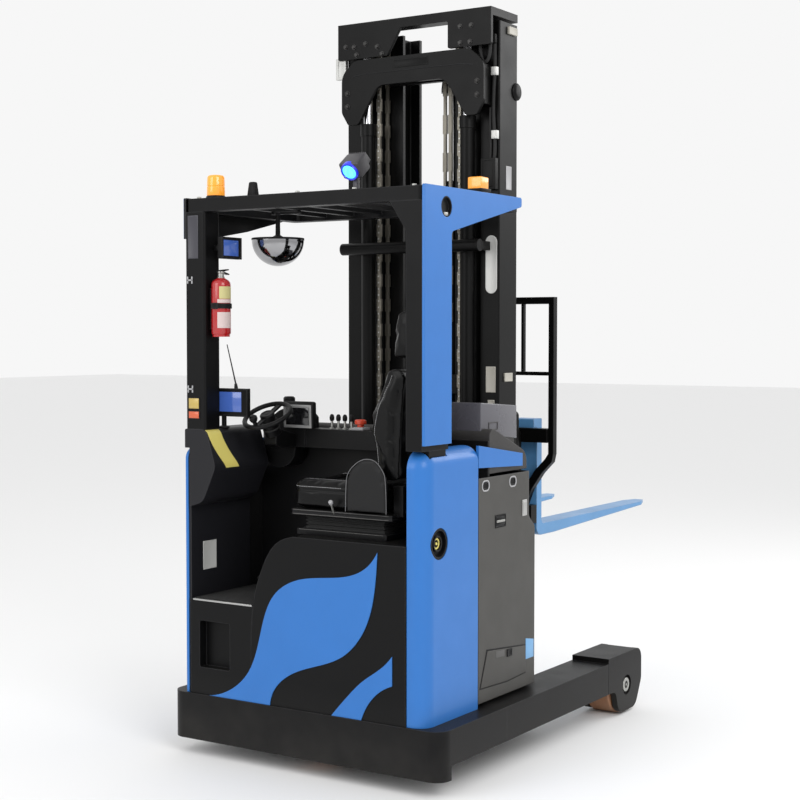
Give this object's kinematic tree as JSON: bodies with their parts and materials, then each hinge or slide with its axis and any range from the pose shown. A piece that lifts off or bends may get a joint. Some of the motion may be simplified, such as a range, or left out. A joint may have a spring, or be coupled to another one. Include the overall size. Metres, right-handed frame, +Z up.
{
  "type": "reach truck",
  "caption": "Seated electric reach truck with a moving telescopic mast between support legs, tilting side-shift forks, load backrest, overhead guard and side-facing seat.",
  "frame": {"origin": "on the floor under the middle of the overall length and width", "axes": "+X forwards to the fork tips, +Y to the left, +Z up"},
  "size_m": [2.54, 1.27, 2.985],
  "materials": {
    "frame_black": "satin black paint",
    "hub_steel": "machined iron",
    "polyurethane": "orange-brown polyurethane",
    "panel_blue": "smooth blue paint",
    "cover_grey": "grained dark grey moulding",
    "battery_case": "painted steel trough",
    "guard_black": "textured black paint",
    "moulded_black": "moulded black plastic",
    "seat_leather": "black leathercloth",
    "lamp_lens": "clear coloured lens",
    "mirror_glass": "convex mirror",
    "red_paint": "gloss red paint",
    "mast_black": "satin black paint",
    "rod_chrome": "hard chrome",
    "chain_steel": "oiled steel",
    "fork_blue": "light blue paint"
  },
  "bodies": {
    "chassis": {"base_frame": "frame_black", "leg_left": "frame_black", "leg_right": "frame_black", "side_panel_left": "panel_blue", "side_panel_right": "panel_blue", "hood_bands": "panel_blue", "guard_skins": "panel_blue", "livery": "panel_blue", "battery_covers": "cover_grey", "hood": "cover_grey", "console_left": "cover_grey", "dash": "cover_grey", "bulkhead": "cover_grey", "floor_step": "cover_grey", "pedestal": "cover_grey", "battery": "battery_case", "guard_pillar_left": "guard_black", "guard_pillar_right": "guard_black", "guard_roof": "guard_black", "steering_column": "guard_black", "seat_base": "guard_black", "controls": "moulded_black", "monitors": "moulded_black", "seat_cushion": "seat_leather", "seat_back": "seat_leather", "headrest": "seat_leather", "lamps": "lamp_lens", "mirror": "mirror_glass", "extinguisher": "red_paint", "reach_cylinder": "mast_black"},
    "drive_unit": {"drive_unit": "frame_black"},
    "drive_wheel": {"drive_hub": "hub_steel", "drive_tyre": "polyurethane"},
    "load_wheel_left": {"load_hub_left": "hub_steel", "load_tyre_left": "polyurethane"},
    "load_wheel_right": {"load_hub_right": "hub_steel", "load_tyre_right": "polyurethane"},
    "steering_wheel": {"steering_wheel": "moulded_black"},
    "reach_carriage": {"reach_frame": "frame_black", "reach_rod": "rod_chrome", "mast_outer": "mast_black", "mast_outer_ties": "mast_black", "lift_cylinders": "mast_black"},
    "middle_mast": {"mast_middle": "mast_black", "mast_middle_ties": "mast_black", "lift_rods": "rod_chrome", "main_chains": "chain_steel"},
    "inner_mast": {"mast_inner": "mast_black", "mast_inner_ties": "mast_black", "free_lift_cylinder": "mast_black"},
    "free_lift_head": {"free_lift_head": "rod_chrome", "free_lift_chains": "chain_steel"},
    "lift_carriage": {"lift_carriage": "mast_black"},
    "tilt_frame": {"tilt_frame": "mast_black"},
    "fork_frame": {"fork_frame": "mast_black", "forks": "fork_blue", "load_backrest": "mast_black"}
  },
  "joints": [
    {"name": "drive_steer", "type": "hinge", "parent": "chassis", "child": "drive_unit", "pos_m": [-1.035, 0, 0.3], "axis": [0, 0, 1], "range_deg": [-90, 90]},
    {"name": "drive_spin", "type": "hinge", "parent": "drive_unit", "child": "drive_wheel", "pos_m": [-1.035, 0, 0.1715], "axis": [0, 1, 0], "continuous": true},
    {"name": "load_spin_left", "type": "hinge", "parent": "chassis", "child": "load_wheel_left", "pos_m": [0.295, 0.5475, 0.125], "axis": [0, 1, 0], "continuous": true},
    {"name": "load_spin_right", "type": "hinge", "parent": "chassis", "child": "load_wheel_right", "pos_m": [0.295, -0.5475, 0.125], "axis": [0, 1, 0], "continuous": true},
    {"name": "hand_steer", "type": "hinge", "parent": "chassis", "child": "steering_wheel", "pos_m": [-1.04, 0.322, 1.345], "axis": [-0.4695, 0, 0.8829], "continuous": true},
    {"name": "mast_reach", "type": "slide", "parent": "chassis", "child": "reach_carriage", "axis": [1, 0, 0], "range_m": [0, 0.48]},
    {"name": "middle_lift", "type": "slide", "parent": "reach_carriage", "child": "middle_mast", "axis": [0, 0, 1], "range_m": [0, 2.1]},
    {"name": "inner_lift", "type": "slide", "parent": "middle_mast", "child": "inner_mast", "axis": [0, 0, 1], "range_m": [0, 2.1]},
    {"name": "carriage_lift", "type": "slide", "parent": "inner_mast", "child": "lift_carriage", "axis": [0, 0, 1], "range_m": [-0.725, 0.275]},
    {"name": "head_lift", "type": "slide", "parent": "inner_mast", "child": "free_lift_head", "axis": [0, 0, 1], "range_m": [-0.3625, 0.1375]},
    {"name": "fork_tilt", "type": "hinge", "parent": "lift_carriage", "child": "tilt_frame", "pos_m": [-0.034, 0, 0.83], "axis": [0, 1, 0], "range_deg": [-4, 2]},
    {"name": "side_shift", "type": "slide", "parent": "tilt_frame", "child": "fork_frame", "axis": [0, 1, 0], "range_m": [-0.05, 0.05]}
  ],
  "couplings": [
    {"joint": "inner_lift", "follows": "middle_lift", "ratio": 1},
    {"joint": "head_lift", "follows": "carriage_lift", "ratio": 0.5}
  ]
}
